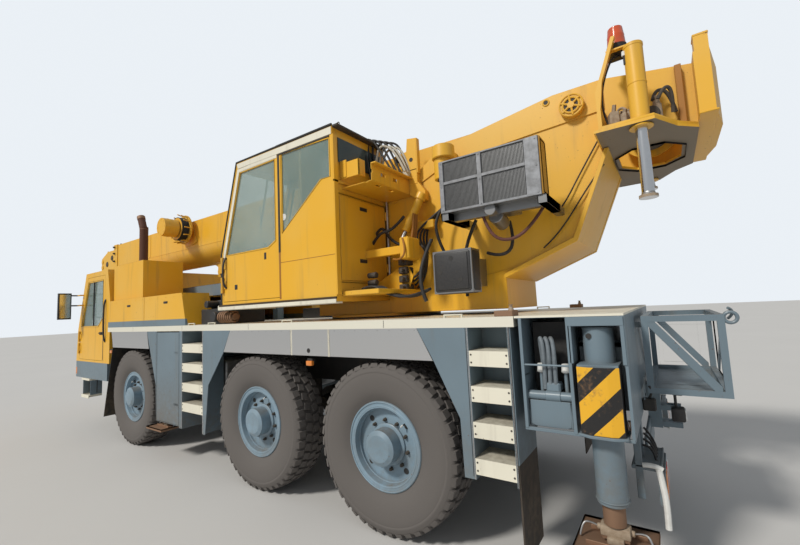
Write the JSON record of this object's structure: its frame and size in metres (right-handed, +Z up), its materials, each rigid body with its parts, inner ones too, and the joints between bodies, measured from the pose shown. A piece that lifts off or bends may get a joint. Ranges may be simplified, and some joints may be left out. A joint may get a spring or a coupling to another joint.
{
  "type": "all-terrain mobile crane",
  "caption": "Three-axle all-terrain mobile crane with steered wheels, outriggers, slewing upper works, crane cab and a luffing telescopic boom, stowed for travel.",
  "frame": {"origin": "on the ground under the middle of the machine's length and width", "axes": "+X to the machine's front, +Y to its left, +Z up"},
  "size_m": [11.4, 3.14, 3.7598],
  "materials": {
    "crane_yellow": "gloss",
    "carrier_grey_blue": "satin",
    "cream_paint": "satin",
    "frame_dark": "matt",
    "bright_sheet": "brushed",
    "tyre_rubber": "dusty",
    "cast_parts": "rough",
    "rod_steel": "polished",
    "rusty_steel": "rusty",
    "cab_pane": "clear",
    "seat_cloth": "woven",
    "cooler_metal": "dusty"
  },
  "bodies": {
    "chassis": {"axles": "cast_parts", "frame": "frame_dark", "deck": "cream_paint", "side_panels": "carrier_grey_blue", "ladder_treads": "cream_paint", "fenders": "bright_sheet", "outrigger_boxes": "carrier_grey_blue", "engine_block": "cast_parts", "engine_hood": "crane_yellow", "cab_shell": "crane_yellow", "cab_glass": "cab_pane", "cab_sill": "carrier_grey_blue", "cab_seats": "seat_cloth", "boom_rest": "carrier_grey_blue", "rear_basket": "carrier_grey_blue", "rear_fittings": "carrier_grey_blue"},
    "knuckle_rear_left": {"knuckle_rear_left": "cast_parts"},
    "wheel_rear_left": {"tyre_rear_left": "tyre_rubber", "rim_rear_left": "carrier_grey_blue"},
    "knuckle_rear_right": {"knuckle_rear_right": "cast_parts"},
    "wheel_rear_right": {"tyre_rear_right": "tyre_rubber", "rim_rear_right": "carrier_grey_blue"},
    "knuckle_middle_left": {"knuckle_middle_left": "cast_parts"},
    "wheel_middle_left": {"tyre_middle_left": "tyre_rubber", "rim_middle_left": "carrier_grey_blue"},
    "knuckle_middle_right": {"knuckle_middle_right": "cast_parts"},
    "wheel_middle_right": {"tyre_middle_right": "tyre_rubber", "rim_middle_right": "carrier_grey_blue"},
    "knuckle_front_left": {"knuckle_front_left": "cast_parts"},
    "wheel_front_left": {"tyre_front_left": "tyre_rubber", "rim_front_left": "carrier_grey_blue"},
    "knuckle_front_right": {"knuckle_front_right": "cast_parts"},
    "wheel_front_right": {"tyre_front_right": "tyre_rubber", "rim_front_right": "carrier_grey_blue"},
    "beam_rear_left": {"beam_rear_left": "carrier_grey_blue"},
    "foot_rear_left": {"foot_rear_left": "rusty_steel"},
    "beam_rear_right": {"beam_rear_right": "carrier_grey_blue"},
    "foot_rear_right": {"foot_rear_right": "rusty_steel"},
    "beam_front_left": {"beam_front_left": "carrier_grey_blue"},
    "foot_front_left": {"foot_front_left": "rusty_steel"},
    "beam_front_right": {"beam_front_right": "carrier_grey_blue"},
    "foot_front_right": {"foot_front_right": "rusty_steel"},
    "cab_door_left": {"cab_door_left": "crane_yellow"},
    "cab_door_right": {"cab_door_right": "crane_yellow"},
    "upper": {"upper_frame": "crane_yellow", "tail_weight": "crane_yellow", "crane_cab": "crane_yellow", "crane_cab_glass": "cab_pane", "operator_seat": "seat_cloth", "oil_cooler": "cooler_metal"},
    "crane_cab_door": {"crane_cab_door": "crane_yellow"},
    "winch_drum": {"winch_drum": "crane_yellow"},
    "ballast_rod_left": {"ballast_rod_left": "rod_steel"},
    "ballast_rod_right": {"ballast_rod_right": "rod_steel"},
    "boom_base": {"boom_base": "crane_yellow"},
    "boom_section_1": {"boom_section_1": "crane_yellow"},
    "boom_section_2": {"boom_section_2": "crane_yellow"},
    "boom_head": {"boom_head": "crane_yellow"},
    "luff_barrel": {"luff_barrel": "crane_yellow"},
    "luff_rod": {"luff_rod": "rod_steel"}
  },
  "joints": [
    {"name": "steer_rear_left", "type": "hinge", "parent": "chassis", "child": "knuckle_rear_left", "pos_m": [-3.25, 0.93, 0.685], "axis": [0, 0, 1], "range_deg": [-15, 15]},
    {"name": "spin_rear_left", "type": "hinge", "parent": "knuckle_rear_left", "child": "wheel_rear_left", "pos_m": [-3.25, 1.0625, 0.685], "axis": [0, 1, 0], "continuous": true},
    {"name": "steer_rear_right", "type": "hinge", "parent": "chassis", "child": "knuckle_rear_right", "pos_m": [-3.25, -0.93, 0.685], "axis": [0, 0, 1], "range_deg": [-15, 15]},
    {"name": "spin_rear_right", "type": "hinge", "parent": "knuckle_rear_right", "child": "wheel_rear_right", "pos_m": [-3.25, -1.0625, 0.685], "axis": [0, 1, 0], "continuous": true},
    {"name": "steer_middle_left", "type": "hinge", "parent": "chassis", "child": "knuckle_middle_left", "pos_m": [-1.6, 0.93, 0.685], "axis": [0, 0, 1], "range_deg": [-18, 18]},
    {"name": "spin_middle_left", "type": "hinge", "parent": "knuckle_middle_left", "child": "wheel_middle_left", "pos_m": [-1.6, 1.0625, 0.685], "axis": [0, 1, 0], "continuous": true},
    {"name": "steer_middle_right", "type": "hinge", "parent": "chassis", "child": "knuckle_middle_right", "pos_m": [-1.6, -0.93, 0.685], "axis": [0, 0, 1], "range_deg": [-18, 18]},
    {"name": "spin_middle_right", "type": "hinge", "parent": "knuckle_middle_right", "child": "wheel_middle_right", "pos_m": [-1.6, -1.0625, 0.685], "axis": [0, 1, 0], "continuous": true},
    {"name": "steer_front_left", "type": "hinge", "parent": "chassis", "child": "knuckle_front_left", "pos_m": [1.38, 0.93, 0.685], "axis": [0, 0, 1], "range_deg": [-30, 30]},
    {"name": "spin_front_left", "type": "hinge", "parent": "knuckle_front_left", "child": "wheel_front_left", "pos_m": [1.38, 1.0625, 0.685], "axis": [0, 1, 0], "continuous": true},
    {"name": "steer_front_right", "type": "hinge", "parent": "chassis", "child": "knuckle_front_right", "pos_m": [1.38, -0.93, 0.685], "axis": [0, 0, 1], "range_deg": [-30, 30]},
    {"name": "spin_front_right", "type": "hinge", "parent": "knuckle_front_right", "child": "wheel_front_right", "pos_m": [1.38, -1.0625, 0.685], "axis": [0, 1, 0], "continuous": true},
    {"name": "beam_slide_rear_left", "type": "slide", "parent": "chassis", "child": "beam_rear_left", "axis": [0, 1, 0], "range_m": [0, 1.7]},
    {"name": "foot_slide_rear_left", "type": "slide", "parent": "beam_rear_left", "child": "foot_rear_left", "axis": [0, 0, -1], "range_m": [0, 0.45]},
    {"name": "beam_slide_rear_right", "type": "slide", "parent": "chassis", "child": "beam_rear_right", "axis": [0, -1, 0], "range_m": [0, 1.7]},
    {"name": "foot_slide_rear_right", "type": "slide", "parent": "beam_rear_right", "child": "foot_rear_right", "axis": [0, 0, -1], "range_m": [0, 0.45]},
    {"name": "beam_slide_front_left", "type": "slide", "parent": "chassis", "child": "beam_front_left", "axis": [0, 1, 0], "range_m": [0, 1.7]},
    {"name": "foot_slide_front_left", "type": "slide", "parent": "beam_front_left", "child": "foot_front_left", "axis": [0, 0, -1], "range_m": [0, 0.45]},
    {"name": "beam_slide_front_right", "type": "slide", "parent": "chassis", "child": "beam_front_right", "axis": [0, -1, 0], "range_m": [0, 1.7]},
    {"name": "foot_slide_front_right", "type": "slide", "parent": "beam_front_right", "child": "foot_front_right", "axis": [0, 0, -1], "range_m": [0, 0.45]},
    {"name": "cab_door_hinge_left", "type": "hinge", "parent": "chassis", "child": "cab_door_left", "pos_m": [3.55, 1.256, 1.6], "axis": [0, 0, -1], "range_deg": [0, 70]},
    {"name": "cab_door_hinge_right", "type": "hinge", "parent": "chassis", "child": "cab_door_right", "pos_m": [3.55, -1.256, 1.6], "axis": [0, 0, 1], "range_deg": [0, 70]},
    {"name": "slew", "type": "hinge", "parent": "chassis", "child": "upper", "pos_m": [-2.45, 0, 1.725], "axis": [0, 0, 1], "continuous": true},
    {"name": "crane_cab_door_hinge", "type": "hinge", "parent": "upper", "child": "crane_cab_door", "pos_m": [-1.05, 1.266, 2.5], "axis": [0, 0, -1], "range_deg": [0, 90]},
    {"name": "winch", "type": "hinge", "parent": "upper", "child": "winch_drum", "pos_m": [-5.26, 0, 3.26], "axis": [0, 1, 0], "continuous": true},
    {"name": "ballast_lift_left", "type": "slide", "parent": "upper", "child": "ballast_rod_left", "axis": [0, 0, -1], "range_m": [-0.4, 0.03]},
    {"name": "ballast_lift_right", "type": "slide", "parent": "upper", "child": "ballast_rod_right", "axis": [0, 0, -1], "range_m": [0, 0.43]},
    {"name": "luff", "type": "hinge", "parent": "upper", "child": "boom_base", "pos_m": [-4.76, 0, 3.36], "axis": [0, -1, 0], "range_deg": [0, 82]},
    {"name": "telescope_1", "type": "slide", "parent": "boom_base", "child": "boom_section_1", "axis": [1, 0, 0], "range_m": [0, 7.4]},
    {"name": "telescope_2", "type": "slide", "parent": "boom_section_1", "child": "boom_section_2", "axis": [1, 0, 0], "range_m": [0, 7.4]},
    {"name": "telescope_3", "type": "slide", "parent": "boom_section_2", "child": "boom_head", "axis": [1, 0, 0], "range_m": [0, 7.4]},
    {"name": "ram_swing", "type": "hinge", "parent": "upper", "child": "luff_barrel", "pos_m": [-2.95, 0, 2.15], "axis": [0, -1, 0], "range_deg": [0, 86.39]},
    {"name": "ram_stroke", "type": "slide", "parent": "luff_barrel", "child": "luff_rod", "axis": [0.9945, 0, 0.1046], "range_m": [0, 2.8453]}
  ],
  "couplings": [
    {"joint": "steer_rear_left", "follows": "steer_front_left", "ratio": -0.5},
    {"joint": "steer_rear_right", "follows": "steer_front_left", "ratio": -0.5},
    {"joint": "steer_middle_left", "follows": "steer_front_left", "ratio": 0.6},
    {"joint": "steer_middle_right", "follows": "steer_front_left", "ratio": 0.6},
    {"joint": "steer_front_right", "follows": "steer_front_left", "ratio": 1},
    {"joint": "ram_swing", "follows": "luff", "ratio": 1.0474},
    {"joint": "ram_stroke", "follows": "luff", "m_per_rad": 1.9811}
  ]
}
